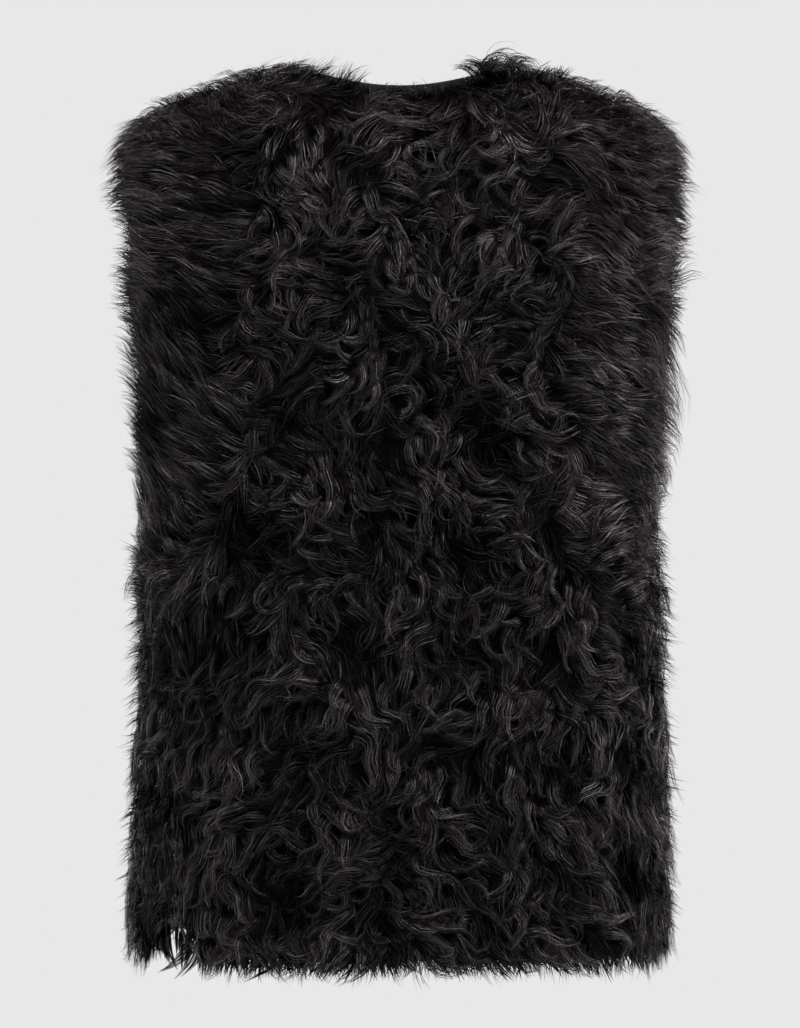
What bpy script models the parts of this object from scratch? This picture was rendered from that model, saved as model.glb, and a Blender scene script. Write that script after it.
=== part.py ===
"""A sleeveless shearling vest, filled out as it is worn.

Four sewn pieces: the back, the two fronts, which meet edge to edge, and the binding round the neck.
Each panel is a wall, smooth on the skin side, inside, with the larger locks of its wool raised outside.
Metres, +Z up. The wearer faces -Y, so +X is the wearer's left. The origin is at the base of the neck,
midway between the shoulders and in the plane of the shoulder and side seams.
"""

import math

import bmesh
import bpy
import numpy as np

# Heights, measured from the origin, at the base of the neck
HEM_Z = -0.646
UNDERARM_Z = -0.326
SHOULDER_TIP_Z = -0.046
FRONT_NECK_Z = -0.072
BACK_NECK_Z = -0.014

# Shoulders and neck
SHOULDER_HALF = 0.192
SHOULDER_SLOPE = math.tan(math.radians(23.3))
SHOULDER_ARCH = 0.009
SHOULDER_ROUND_AT_NECK = 0.100
SHOULDER_ROUND_AT_TIP = 0.076
NECK_HALF = 0.072
NECK_SOFTENING = 0.030

# Sections of the filled-out body, hem first. Above the underarm the panel stops short, at the armhole.
# height, body half width, panel half width, depth behind, depth in front
HEIGHT, BODY, PANEL, BEHIND, AHEAD = range(5)
SECTIONS = (
    (HEM_Z, 0.185, 0.185, 0.107, 0.115),
    (-0.560, 0.183, 0.183, 0.102, 0.111),
    (-0.450, 0.179, 0.179, 0.097, 0.109),
    (UNDERARM_Z, 0.182, 0.182, 0.105, 0.121),
    (-0.190, 0.218, 0.184, 0.111, 0.117),
    (SHOULDER_TIP_Z, 0.232, SHOULDER_HALF, 0.099, 0.092),
    (0.040, 0.240, SHOULDER_HALF, 0.082, 0.070),
)
SECTION_SQUARENESS = 2.4

# The pile, and how far it reaches past the skin's cut edges
PILE = 0.0205
PILE_AT_NECKLINE = 0.005
NECK_TAPER = 0.035
HEM_OVERHANG = 0.015
ARMHOLE_OVERHANG = 0.016
OVERHANG_TEETH = 0.010
TOOTH_WIDTH = 0.031
ARMHOLE_OPENS = 0.050

# Raised locks, like shingles: each swells towards its tip and is parted from its neighbours
LOCK_WIDTH = 0.040
LOCK_LENGTH = 0.052
LOCK_HEIGHT = 0.0095
SEAM_FADE = 0.020

# Seams, and the binding
SEAM_GAP = 0.0003
BINDING_WIDTH = 0.009
BINDING_THICKNESS = 0.0032
BINDING_CORNER = 0.0010

# How finely the panels are divided. Above GATHER_Z their columns gather towards the neck's corners
NECK_COLUMNS = 9
SHOULDER_COLUMNS = 13
GATHER_Z = -0.300
BODY_ROWS = 37
SHOULDER_ROWS = 7

PILE_COLOUR = (0.011, 0.010, 0.0105, 1.0)
BINDING_COLOUR = (0.009, 0.0085, 0.0085, 1.0)


def clear_scene():
    for old in list(bpy.data.objects):
        bpy.data.objects.remove(old)


def smoothstep(low, high, value):
    share = np.clip((value - low) / (high - low), 0.0, 1.0)
    return share * share * (3.0 - 2.0 * share)


def section(column, height):
    """One column of SECTIONS at any height, on a smooth curve through the rows."""
    heights = np.array([row[HEIGHT] for row in SECTIONS])
    values = np.array([row[column] for row in SECTIONS])
    slopes = np.gradient(values, heights)
    height = np.clip(height, heights[0], heights[-1])
    k = np.clip(np.searchsorted(heights, height) - 1, 0, len(heights) - 2)
    span = heights[k + 1] - heights[k]
    t = (height - heights[k]) / span
    return (
        values[k] * (1 + 2 * t) * (1 - t) ** 2
        + slopes[k] * span * t * (1 - t) ** 2
        + values[k + 1] * t * t * (3 - 2 * t)
        + slopes[k + 1] * span * t * t * (t - 1)
    )


def body_half(height):
    """Half the body's width. Below the underarm the panels reach all the way round it."""
    return np.where(height <= UNDERARM_Z, section(PANEL, height), section(BODY, height))


def shoulder_line(x):
    """Height of the shoulder seam over x, carried on smoothly across the neck."""
    run = np.hypot(SHOULDER_HALF, NECK_SOFTENING) - np.hypot(x, NECK_SOFTENING)
    share = np.clip((np.abs(x) - NECK_HALF) / (SHOULDER_HALF - NECK_HALF), 0.0, 1.0)
    return SHOULDER_TIP_Z + SHOULDER_SLOPE * run + SHOULDER_ARCH * 4.0 * share * (1.0 - share)


def top_edge(x, neck_z):
    """Height of a panel's top edge: the neckline in the middle, and the shoulder seam beyond it."""
    corner = shoulder_line(NECK_HALF)
    share = np.clip(np.abs(x) / NECK_HALF, 0.0, 1.0)
    neckline = corner - (corner - neck_z) * (1.0 - share**2)
    return np.where(np.abs(x) < NECK_HALF, neckline, shoulder_line(x))


def hem_shares():
    """Where the columns stand at the hem, from 0, the middle, to 1, the side: closer where it rounds away."""
    count = NECK_COLUMNS + SHOULDER_COLUMNS
    turn = np.linspace(0.0, math.pi / 2, count + 1)
    rounded = np.sin(turn) ** (2.0 / SECTION_SQUARENESS)
    return 0.5 * rounded + 0.5 * np.linspace(0.0, 1.0, count + 1)


def top_shares():
    """Where they stand at the top: by equal turns round the neckline, then evenly along the shoulder."""
    turn = np.linspace(0.0, math.pi / 2, NECK_COLUMNS + 1)
    neck = NECK_HALF * np.sin(turn) / SHOULDER_HALF
    shoulder = np.linspace(NECK_HALF / SHOULDER_HALF, 1.0, SHOULDER_COLUMNS + 1)
    return np.concatenate([neck, shoulder[1:]])


def row_heights():
    """Heights of the rows along the side edge: even up the body, then by equal turns at the shoulder."""
    turning = SHOULDER_TIP_Z - SHOULDER_ROUND_AT_TIP
    body = np.linspace(HEM_Z, turning, BODY_ROWS + 1)
    underarm = int(np.argmin(np.abs(body - UNDERARM_Z)))
    body[underarm] = UNDERARM_Z
    turn = np.linspace(math.pi / 2, 0.0, SHOULDER_ROWS + 1)[1:]
    over = SHOULDER_TIP_Z - SHOULDER_ROUND_AT_TIP * (1.0 - np.cos(turn))
    return np.concatenate([body, over]), underarm


def lock_relief(across, down, phase):
    """From 0 in the partings to 1 on the swell of a lock, over a panel's own widths and lengths."""
    sway = 0.30 * np.sin(across * 47.0 + phase) + 0.18 * np.sin(across * 101.0 + 2.0 * phase)
    rows = down / LOCK_LENGTH + sway
    row = np.floor(rows)
    fall = rows - row
    stagger = 0.5 * (row % 2) + 0.35 * np.sin(2.4 * row + phase)
    parting = np.abs(np.sin(math.pi * (across / LOCK_WIDTH + stagger)))
    swell = fall**0.7 * (1.0 - smoothstep(0.70, 1.0, fall))
    return parting**0.7 * swell


def teeth(along, phase):
    """How far the lock tips reach past a cut edge, from 0 to 1, unevenly."""
    share = along / TOOTH_WIDTH + 0.4 * np.sin(along * 23.0 + phase)
    return np.abs(np.sin(math.pi * share)) * (0.65 + 0.35 * np.sin(along * 61.0 + 3.0 * phase))


def unit(vectors):
    return vectors / np.maximum(np.linalg.norm(vectors, axis=-1, keepdims=True), 1e-12)


class Panel:
    """A back or front panel: its skin side as a grid of points, and its pile side moved out from them."""

    def __init__(self, columns, facing, neck_z, depth, phase):
        self.columns = columns
        self.facing = facing
        self.neck_z = neck_z
        self.depth = depth
        self.phase = phase
        self.at_neck = np.abs(columns) <= NECK_COLUMNS
        self.at_side = np.abs(columns) == NECK_COLUMNS + SHOULDER_COLUMNS
        self.at_middle = columns == 0
        self.heights, self.underarm = row_heights()
        self.shares = self.column_shares()
        self.skin = self.skin_points()
        self.out = self.outward()
        self.pile = self.skin + self.out * self.pile_depth()[..., None] + self.overhang()

    def column_shares(self):
        """Each column's place across the panel, row by row."""
        side = np.sign(self.columns)
        low = side * hem_shares()[np.abs(self.columns)]
        high = side * top_shares()[np.abs(self.columns)]
        gathered = smoothstep(GATHER_Z, SHOULDER_TIP_Z, self.heights)[:, None]
        return low + (high - low) * gathered

    def rounded_shoulder(self, x, z):
        """From 0 on the shoulder seam to 1 where the panel hangs clear of its rounding."""
        lean = np.abs(x) / SHOULDER_HALF
        rounding = SHOULDER_ROUND_AT_NECK + (SHOULDER_ROUND_AT_TIP - SHOULDER_ROUND_AT_NECK) * lean
        below = np.clip((shoulder_line(x) - z) / rounding, 0.0, 1.0)
        return 1.0 - (1.0 - below) ** 2

    def skin_points(self):
        height = self.heights[:, None]
        x = self.shares * section(PANEL, height)
        top = top_edge(self.shares[-1] * SHOULDER_HALF, self.neck_z)
        z = HEM_Z + (height - HEM_Z) * (top - HEM_Z) / (SHOULDER_TIP_Z - HEM_Z)
        filled = np.clip(np.abs(x) / body_half(z), 0.0, 1.0) ** SECTION_SQUARENESS
        deep = section(self.depth, z) * (1.0 - filled) ** (1.0 / SECTION_SQUARENESS)
        y = self.facing * deep * np.sqrt(self.rounded_shoulder(x, z))
        return np.stack([x, y, z], axis=-1)

    def inside(self, x, y, z):
        """Over 0 inside the filled-out form, 0 on the skin and under 0 outside."""
        filled = (np.abs(x) / body_half(z)) ** SECTION_SQUARENESS
        rounded = self.rounded_shoulder(x, z) ** (SECTION_SQUARENESS / 2)
        return (1.0 - filled) * rounded - (np.abs(y) / section(self.depth, z)) ** SECTION_SQUARENESS

    def outward(self):
        """Unit direction out of the cloth at each point. On a seam it lies in the seam's own plane."""
        step = 0.0003
        x, y, z = np.moveaxis(self.skin, -1, 0)
        slope = np.stack(
            [
                self.inside(x - step, y, z) - self.inside(x + step, y, z),
                self.inside(x, y - step, z) - self.inside(x, y + step, z),
                self.inside(x, y, z - step) - self.inside(x, y, z + step),
            ],
            axis=-1,
        )
        slope[self.seams(), 1] = 0.0
        slope[:, self.at_middle, 0] = 0.0
        return unit(slope)

    def seams(self):
        """Marks the grid points on the side and shoulder seams, which lie in the plane y = 0."""
        on_seam = np.zeros(self.skin.shape[:2], bool)
        on_seam[: self.underarm + 1, self.at_side] = True
        on_seam[-1, np.abs(self.columns) >= NECK_COLUMNS] = True
        return on_seam

    def measured(self, axis):
        """Each point's distance along the skin, from the hem (axis 0) or from the first column (axis 1)."""
        steps = np.linalg.norm(np.diff(self.skin, axis=axis), axis=-1)
        lead = [(1, 0), (0, 0)] if axis == 0 else [(0, 0), (1, 0)]
        return np.pad(np.cumsum(steps, axis=axis), lead)

    def edge_fade(self):
        """0 on the seams and 1 away from them, so that the raised locks of two panels meet evenly."""
        along = self.measured(0)
        across = self.measured(1)
        nearest = np.minimum(across, across[:, -1:] - across)
        nearest = np.minimum(nearest, along[-1:] - along)
        return smoothstep(0.0, SEAM_FADE, nearest)

    def pile_depth(self):
        """Depth of the pile at each point: clipped short towards the neckline, and raised in locks."""
        relief = lock_relief(self.measured(1), -self.measured(0), self.phase) - 0.45
        depth = PILE + LOCK_HEIGHT * relief * self.edge_fade()
        from_edge = self.skin[-1, :, 2] - self.skin[..., 2]
        off_neck = smoothstep(0.55, 0.90, np.abs(self.shares[-1]) * SHOULDER_HALF / NECK_HALF)
        grown = np.maximum(smoothstep(0.0, NECK_TAPER, from_edge), off_neck)
        return PILE_AT_NECKLINE + (depth - PILE_AT_NECKLINE) * grown

    def overhang(self):
        """How far, and which way, the pile reaches past the hem and the armholes."""
        reach = np.zeros_like(self.skin)
        reach[0, :, 2] = -HEM_OVERHANG - OVERHANG_TEETH * teeth(self.measured(1)[0], self.phase)
        rows = slice(self.underarm, None)
        for column in np.flatnonzero(self.at_side):
            beside = column - 1 if column else 1
            edge = self.skin[rows, column]
            past = ARMHOLE_OVERHANG + OVERHANG_TEETH * teeth(edge[:, 2], self.phase + column)
            opened = smoothstep(0.0, ARMHOLE_OPENS, edge[:, 2] - UNDERARM_Z)
            reach[rows, column] = (past * opened)[:, None] * unit(edge - self.skin[rows, beside])
        return reach

    def parted(self, points):
        """The points kept on this panel's own side of the seam planes, half a seam's gap from them."""
        points = points.copy()
        y = points[..., 1] * self.facing
        y[self.seams()] = 0.0
        points[..., 1] = self.facing * np.maximum(y, SEAM_GAP / 2)
        if self.facing < 0:
            side = np.sign(self.columns.sum())
            x = points[..., 0] * side
            x[:, self.at_middle] = 0.0
            points[..., 0] = side * np.maximum(x, SEAM_GAP / 2)
        return points

    def neckline(self):
        """Points and outward directions along the neckline, on the skin side, from +X to -X."""
        order = np.flatnonzero(self.at_neck)[np.argsort(-self.columns[self.at_neck])]
        return self.parted(self.skin)[-1, order], self.out[-1, order]


def grid_face(bm, points):
    """A grid of faces through rows and columns of points. Returns its vertices by row and column."""
    rows, columns = points.shape[:2]
    made = bmesh.ops.create_grid(bm, x_segments=columns - 1, y_segments=rows - 1, size=1.0)["verts"]
    placed = np.empty((rows, columns), object)
    for vertex in made:
        i = round((vertex.co.x + 1.0) / 2.0 * (columns - 1))
        j = round((vertex.co.y + 1.0) / 2.0 * (rows - 1))
        placed[j, i] = vertex
    for j in range(rows):
        for i in range(columns):
            placed[j, i].co = points[j, i]
    return placed


def rim(placed):
    """The edges round the outside of a grid face."""
    return [edge for edge in {e for v in placed.flat for e in v.link_edges} if edge.is_boundary]


def thin_out(bm, placed):
    """Takes every second line out of a grid face, inside its rim, where it is smooth."""
    rows, columns = placed.shape
    loose = []
    for j in range(1, rows - 1):
        for i in range(1, columns - 1):
            for far_j, far_i in ((j + 1, i), (j - 1, i)):
                if i % 2:
                    loose.append(bm.edges.get((placed[j, i], placed[far_j, far_i])))
            for far_j, far_i in ((j, i + 1), (j, i - 1)):
                if j % 2:
                    loose.append(bm.edges.get((placed[j, i], placed[far_j, far_i])))
    bmesh.ops.dissolve_edges(bm, edges=list(set(loose)), use_verts=True)


def wall(panel):
    """A closed wall from a panel's skin side to its pile side."""
    bm = bmesh.new()
    skin = grid_face(bm, panel.parted(panel.skin))
    pile = grid_face(bm, panel.parted(panel.pile))
    bmesh.ops.bridge_loops(bm, edges=rim(skin) + rim(pile))
    thin_out(bm, skin)
    bmesh.ops.recalc_face_normals(bm, faces=bm.faces)
    return bm


def binding_profile():
    """The binding's section: how far up from the skin's edge, and how far out, with its corners cut."""
    low, high = SEAM_GAP, SEAM_GAP + BINDING_WIDTH
    inner, outer, cut = 0.0, BINDING_THICKNESS, BINDING_CORNER
    return (
        (low, inner),
        (high - cut, inner),
        (high, inner + cut),
        (high, outer - cut),
        (high - cut, outer),
        (low, outer),
    )


def neck_stations(back, front_left, front_right):
    """Points and outward directions all round the neckline, from one front edge to the other."""
    left_points, left_out = front_left.neckline()
    back_points, back_out = back.neckline()
    right_points, right_out = front_right.neckline()
    points = np.concatenate([left_points[::-1], back_points[1:], right_points[-2::-1]])
    out = np.concatenate([left_out[::-1], back_out[1:], right_out[-2::-1]])
    return points, out


def binding_wall(points, out):
    """A flat band that stands on the neckline's edge, swept from station to station."""
    bm = bmesh.new()
    along = np.gradient(points, axis=0)
    along[[0, -1], 1:] = 0.0
    up = unit(np.cross(along, out))
    towards_neck = np.array((0.0, 0.0, 0.06)) - points
    up *= np.sign(np.sum(up * towards_neck, axis=1))[:, None]
    rings = []
    for point, rise, outward in zip(points, up, out):
        ring = [bm.verts.new(point + a * rise + b * outward) for a, b in binding_profile()]
        rings.append(ring)
    for first, second in zip(rings, rings[1:]):
        for k in range(len(first)):
            n = (k + 1) % len(first)
            bm.faces.new((first[k], first[n], second[n], second[k]))
    bm.faces.new(rings[0])
    bm.faces.new(rings[-1])
    bmesh.ops.recalc_face_normals(bm, faces=bm.faces)
    return bm


def material(name, colour, roughness):
    made = bpy.data.materials.new(name)
    made.use_nodes = True
    shader = made.node_tree.nodes["Principled BSDF"]
    shader.inputs["Base Color"].default_value = colour
    shader.inputs["Roughness"].default_value = roughness
    shader.inputs["Metallic"].default_value = 0.0
    made.diffuse_color = colour
    return made


def add_piece(name, bm, finish, collection):
    mesh = bpy.data.meshes.new(name)
    bm.to_mesh(mesh)
    bm.free()
    mesh.shade_smooth()
    mesh.set_sharp_from_angle(angle=math.radians(50))
    mesh.materials.append(finish)
    piece = bpy.data.objects.new(name, mesh)
    collection.objects.link(piece)
    return piece


def main():
    clear_scene()
    collection = bpy.data.collections.new("shearling_vest")
    bpy.context.scene.collection.children.link(collection)
    shearling = material("shearling", PILE_COLOUR, 0.6)
    suede = material("suede_binding", BINDING_COLOUR, 0.8)

    side = NECK_COLUMNS + SHOULDER_COLUMNS
    back = Panel(np.arange(-side, side + 1), 1.0, BACK_NECK_Z, BEHIND, phase=0.4)
    front_left = Panel(np.arange(0, side + 1), -1.0, FRONT_NECK_Z, AHEAD, phase=1.7)
    front_right = Panel(np.arange(-side, 1), -1.0, FRONT_NECK_Z, AHEAD, phase=2.9)

    add_piece("back", wall(back), shearling, collection)
    add_piece("front_left", wall(front_left), shearling, collection)
    add_piece("front_right", wall(front_right), shearling, collection)
    stations = neck_stations(back, front_left, front_right)
    add_piece("neck_binding", binding_wall(*stations), suede, collection)


main()
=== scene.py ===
"""The shearling vest as it looks: thin skins that carry long curly wool, and a bound neck."""

import math
from collections import namedtuple
from types import SimpleNamespace

import bmesh
import bpy
import numpy as np
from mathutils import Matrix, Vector
from mathutils.kdtree import KDTree


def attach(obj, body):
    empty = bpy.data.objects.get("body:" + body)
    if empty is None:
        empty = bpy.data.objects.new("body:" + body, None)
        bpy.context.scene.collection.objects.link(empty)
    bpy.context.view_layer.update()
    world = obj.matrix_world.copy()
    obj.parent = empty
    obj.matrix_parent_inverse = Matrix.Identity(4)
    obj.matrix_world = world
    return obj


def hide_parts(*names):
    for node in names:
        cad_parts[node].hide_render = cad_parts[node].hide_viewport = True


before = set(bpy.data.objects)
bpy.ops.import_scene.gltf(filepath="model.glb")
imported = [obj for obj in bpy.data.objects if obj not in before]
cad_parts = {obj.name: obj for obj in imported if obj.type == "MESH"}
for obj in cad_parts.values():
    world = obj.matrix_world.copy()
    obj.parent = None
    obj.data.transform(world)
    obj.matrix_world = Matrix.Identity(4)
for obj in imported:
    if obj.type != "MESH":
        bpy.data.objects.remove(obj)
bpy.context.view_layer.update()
SEED = 20
rng = np.random.default_rng(SEED)

# The vest's cut, in metres, as in the solids
HEM_Z = -0.646
UNDERARM_Z = -0.326
SHOULDER_TIP_Z = -0.046
FRONT_NECK_Z = -0.072
BACK_NECK_Z = -0.014
SHOULDER_HALF = 0.192
SHOULDER_SLOPE = math.tan(math.radians(23.3))
SHOULDER_ARCH = 0.009
SHOULDER_ROUND_AT_NECK = 0.100
SHOULDER_ROUND_AT_TIP = 0.076
NECK_HALF = 0.072
NECK_SOFTENING = 0.030
NECK_PART = 9 / 22
GATHERED_FROM_Z = -0.300
SEAM_GAP = 0.0003
BINDING_WIDTH = 0.009
BINDING_THICKNESS = 0.0032
SKIN_THICKNESS = 0.0022

# height, body half width, panel half width, depth behind, depth in front
HEIGHT, BODY, PANEL, BEHIND, AHEAD = range(5)
SECTIONS = (
    (HEM_Z, 0.185, 0.185, 0.107, 0.115),
    (-0.560, 0.183, 0.183, 0.102, 0.111),
    (-0.450, 0.179, 0.179, 0.097, 0.109),
    (UNDERARM_Z, 0.182, 0.182, 0.105, 0.121),
    (-0.190, 0.218, 0.184, 0.111, 0.117),
    (SHOULDER_TIP_Z, 0.232, SHOULDER_HALF, 0.099, 0.092),
    (0.040, 0.240, SHOULDER_HALF, 0.082, 0.070),
)
SQUARENESS = 2.4
SLOPE_STEP = 0.0003

# The undercoat: its thickness, how wide its thinning is at each free edge, and where it is thicker
UNDERCOAT = 0.0060
HEM_THINNING = 0.025
ARM_THINNING = 0.030
NECK_THINNING = 0.035
NECK_ENDS = (0.08, -0.02)
PANEL_HALF = 0.25
UNDERARM_BLEND = 0.03
SIDE_PART = (0.72, 0.96)
SIDE_BLEND = 0.06
SIDE_THICKER = 0.8
TIP_THICKER = 0.5
TIP_ACROSS = (0.125, 0.165)
TIP_HEIGHT = (-0.13, -0.06)

# Grids over the back: columns, rows up the body and rows over the shoulder. A front has half the columns.
SKIN_GRID = (52, 56, 14)
SEARCH_GRID = (120, 150, 34)
PLACE_GRID = (240, 260, 60)


def ease(low, high, value):
    """A smooth change from 0 at low to 1 at high."""
    share = np.clip((value - low) / (high - low), 0.0, 1.0)
    return share * share * (3.0 - 2.0 * share)


def unit(vectors):
    return vectors / np.maximum(np.linalg.norm(vectors, axis=-1, keepdims=True), 1e-12)


def across_of(vectors, direction):
    """The part of each vector that is square to a direction."""
    return vectors - direction * np.sum(vectors * direction, axis=-1, keepdims=True)


def section(column, height):
    """One column of SECTIONS at any height, on a smooth curve through the rows."""
    heights = np.array([row[HEIGHT] for row in SECTIONS])
    values = np.array([row[column] for row in SECTIONS])
    slopes = np.gradient(values, heights)
    height = np.clip(height, heights[0], heights[-1])
    k = np.clip(np.searchsorted(heights, height) - 1, 0, len(heights) - 2)
    span = heights[k + 1] - heights[k]
    t = (height - heights[k]) / span
    return (
        values[k] * (1 + 2 * t) * (1 - t) ** 2
        + slopes[k] * span * t * (1 - t) ** 2
        + values[k + 1] * t * t * (3 - 2 * t)
        + slopes[k + 1] * span * t * t * (t - 1)
    )


def body_half(height):
    return np.where(height <= UNDERARM_Z, section(PANEL, height), section(BODY, height))


def shoulder_line(x):
    run = np.hypot(SHOULDER_HALF, NECK_SOFTENING) - np.hypot(x, NECK_SOFTENING)
    share = np.clip((np.abs(x) - NECK_HALF) / (SHOULDER_HALF - NECK_HALF), 0.0, 1.0)
    return SHOULDER_TIP_Z + SHOULDER_SLOPE * run + SHOULDER_ARCH * 4.0 * share * (1.0 - share)


def rounded_shoulder(x, z):
    lean = np.abs(x) / SHOULDER_HALF
    rounding = SHOULDER_ROUND_AT_NECK + (SHOULDER_ROUND_AT_TIP - SHOULDER_ROUND_AT_NECK) * lean
    below = np.clip((shoulder_line(x) - z) / rounding, 0.0, 1.0)
    return 1.0 - (1.0 - below) ** 2


def shoulder_tip(x, z):
    """How near a place is to the shoulder's outer end, from 0 to 1."""
    return ease(*TIP_ACROSS, np.abs(x)) * ease(*TIP_HEIGHT, z)


class Panel:
    """One panel's skin side. A point has a place across, c, from -1 to 1, and a height at the side, h."""

    def __init__(self, name, facing, low_c, high_c, neck_z, depth):
        self.name = name
        self.facing = facing
        self.low_c = low_c
        self.high_c = high_c
        self.neck_z = neck_z
        self.depth = depth

    def top(self, x):
        corner = shoulder_line(NECK_HALF)
        share = np.clip(np.abs(x) / NECK_HALF, 0.0, 1.0)
        neckline = corner - (corner - self.neck_z) * (1.0 - share**2)
        return np.where(np.abs(x) < NECK_HALF, neckline, shoulder_line(x))

    def points(self, c, h):
        far = np.abs(c)
        neck = NECK_HALF / SHOULDER_HALF
        low = 0.5 * np.sin(far * math.pi / 2) ** (2.0 / SQUARENESS) + 0.5 * far
        round_neck = neck * np.sin(np.clip(far / NECK_PART, 0.0, 1.0) * math.pi / 2)
        along_shoulder = neck + (1.0 - neck) * (far - NECK_PART) / (1.0 - NECK_PART)
        high = np.where(far < NECK_PART, round_neck, along_shoulder)
        gathered = ease(GATHERED_FROM_Z, SHOULDER_TIP_Z, h)
        x = np.sign(c) * (low + (high - low) * gathered) * section(PANEL, h)
        top = self.top(high * SHOULDER_HALF)
        z = HEM_Z + (h - HEM_Z) * (top - HEM_Z) / (SHOULDER_TIP_Z - HEM_Z)
        return np.stack([x, self.depth_at(x, z), z], axis=-1)

    def depth_at(self, x, z):
        filled = np.clip(np.abs(x) / body_half(z), 0.0, 1.0) ** SQUARENESS
        deep = section(self.depth, z) * (1.0 - filled) ** (1.0 / SQUARENESS)
        return self.facing * deep * np.sqrt(rounded_shoulder(x, z))

    def inside(self, points):
        """A value that falls from the inside of the body to its outside."""
        x, y, z = np.moveaxis(points, -1, 0)
        filled = (np.abs(x) / body_half(z)) ** SQUARENESS
        rounded = rounded_shoulder(x, z) ** (SQUARENESS / 2)
        return (1.0 - filled) * rounded - (np.abs(y) / section(self.depth, z)) ** SQUARENESS

    def outward(self, points):
        steps = SLOPE_STEP * np.eye(3)
        slope = [self.inside(points - step) - self.inside(points + step) for step in steps]
        return unit(np.stack(slope, axis=-1))

    def coat(self, points, c):
        """How thick the skin is with its close undercoat, which thins out towards the free edges."""
        x, z = points[..., 0], points[..., 2]
        far = np.abs(c)
        above_hem = ease(0.0, HEM_THINNING, z - HEM_Z)
        at_side = ease(ARM_THINNING, 0.0, (1.0 - far) * PANEL_HALF)
        at_armhole = at_side * ease(-UNDERARM_BLEND, 0.0, z - UNDERARM_Z)
        below_top = ease(NECK_THINNING, 0.0, self.top(x) - z)
        at_neck = below_top * ease(*NECK_ENDS, far - NECK_PART)
        turned = ease(*SIDE_PART, far) * ease(UNDERARM_Z, UNDERARM_Z - SIDE_BLEND, z)
        full = UNDERCOAT * (1.0 + SIDE_THICKER * turned + TIP_THICKER * shoulder_tip(x, z))
        return SKIN_THICKNESS + full * above_hem * (1.0 - at_armhole) * (1.0 - at_neck)

    def grid(self, columns, body_rows, shoulder_rows):
        """The places across and the heights of a grid, with its rows closer together over the shoulder."""
        turning = SHOULDER_TIP_Z - SHOULDER_ROUND_AT_TIP
        body = np.linspace(HEM_Z, turning, body_rows + 1)
        turn = np.linspace(math.pi / 2, 0.0, shoulder_rows + 1)[1:]
        over = SHOULDER_TIP_Z - SHOULDER_ROUND_AT_TIP * (1.0 - np.cos(turn))
        h = np.concatenate([body, over])[:, None]
        own_columns = round(columns * (self.high_c - self.low_c) / 2)
        c = np.linspace(self.low_c, self.high_c, own_columns + 1)[None, :]
        h, c = np.broadcast_arrays(h, c)
        return c, h


back = Panel("back", 1.0, -1.0, 1.0, BACK_NECK_Z, BEHIND)
front_left = Panel("front_left", -1.0, 0.0, 1.0, FRONT_NECK_Z, AHEAD)
front_right = Panel("front_right", -1.0, -1.0, 0.0, FRONT_NECK_Z, AHEAD)
panels = (back, front_left, front_right)

# Materials. The plain lustre stands in where the stored one can't be carried. Suede tones are places on a
# ramp, each with a gain on the colour.
WOOL_ROUGHNESS = 0.36
PLAIN_LUSTRE = 0.16
NAP_TONES = ((0.30, 0.6), (0.72, 1.5))
NAPS_ACROSS_PATCH = 40


def set_inputs(node, values):
    for name, value in values.items():
        node.inputs[name].default_value = value


def add_node(nodes, kind, values=()):
    node = nodes.new("ShaderNode" + kind)
    set_inputs(node, dict(values))
    return node


def node_material(name):
    material = bpy.data.materials.new(name)
    material.use_nodes = True
    nodes = material.node_tree.nodes
    return material, nodes, material.node_tree.links, nodes["Principled BSDF"]


def wool_material():
    """Near-black wool. Each strand's colour and lustre, with painted shade at its lock's roots and sides,
    are stored on its points.
    """
    material, nodes, links, shader = node_material("black_wool")
    tone = add_node(nodes, "Attribute")
    tone.attribute_name = "tone"
    lustre = add_node(nodes, "Attribute")
    lustre.attribute_name = "lustre"
    links.new(tone.outputs["Color"], shader.inputs["Base Color"])
    links.new(lustre.outputs["Fac"], shader.inputs["Specular IOR Level"])
    set_inputs(shader, {"Specular IOR Level": PLAIN_LUSTRE, "Roughness": WOOL_ROUGHNESS})
    return material


def suede_material(name, colour, scale, sheen):
    """Matt suede: a fine nap in colour and bump, and broader patches in the colour."""
    material, nodes, links, shader = node_material(name)
    where = add_node(nodes, "TexCoord")
    nap = add_node(nodes, "TexNoise", {"Scale": scale, "Detail": 6.0})
    patches = add_node(nodes, "TexNoise", {"Scale": scale / NAPS_ACROSS_PATCH, "Detail": 3.0})
    ramp = add_node(nodes, "ValToRGB")
    for stop, (position, gain) in zip(ramp.color_ramp.elements, NAP_TONES):
        stop.position = position
        stop.color = tuple(gain * value for value in colour) + (1.0,)
    blend = add_node(nodes, "Mix")
    blend.data_type = "FLOAT"
    set_inputs(blend, {"Factor": 0.5})
    bump = add_node(nodes, "Bump", {"Strength": 0.35, "Distance": 0.0006})
    links.new(where.outputs["Object"], nap.inputs["Vector"])
    links.new(where.outputs["Object"], patches.inputs["Vector"])
    links.new(nap.outputs["Fac"], blend.inputs["A"])
    links.new(patches.outputs["Fac"], blend.inputs["B"])
    links.new(blend.outputs["Result"], ramp.inputs["Fac"])
    links.new(ramp.outputs["Color"], shader.inputs["Base Color"])
    links.new(nap.outputs["Fac"], bump.inputs["Height"])
    links.new(bump.outputs["Normal"], shader.inputs["Normal"])
    set_inputs(shader, {"Roughness": 0.85, "Sheen Weight": sheen, "Sheen Roughness": 0.4})
    set_inputs(shader, {"Specular IOR Level": sheen})
    return material


wool = wool_material()
skin_suede = suede_material("skin_suede", (0.022, 0.019, 0.018), 900.0, 0.25)
# The skins' outer face: the black of the wool's roots, made darker than the strands as painted shade in the
# gaps between locks
wool_roots_and_painted_shade = suede_material("wool_roots_and_painted_shade", (0.0016, 0.0014, 0.0015), 700.0, 0.0)
binding_suede = suede_material("binding_suede", (0.0045, 0.0040, 0.0041), 1200.0, 0.06)


def linked(name, data):
    made = bpy.data.objects.new(name, data)
    bpy.context.scene.collection.objects.link(made)
    return made


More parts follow.
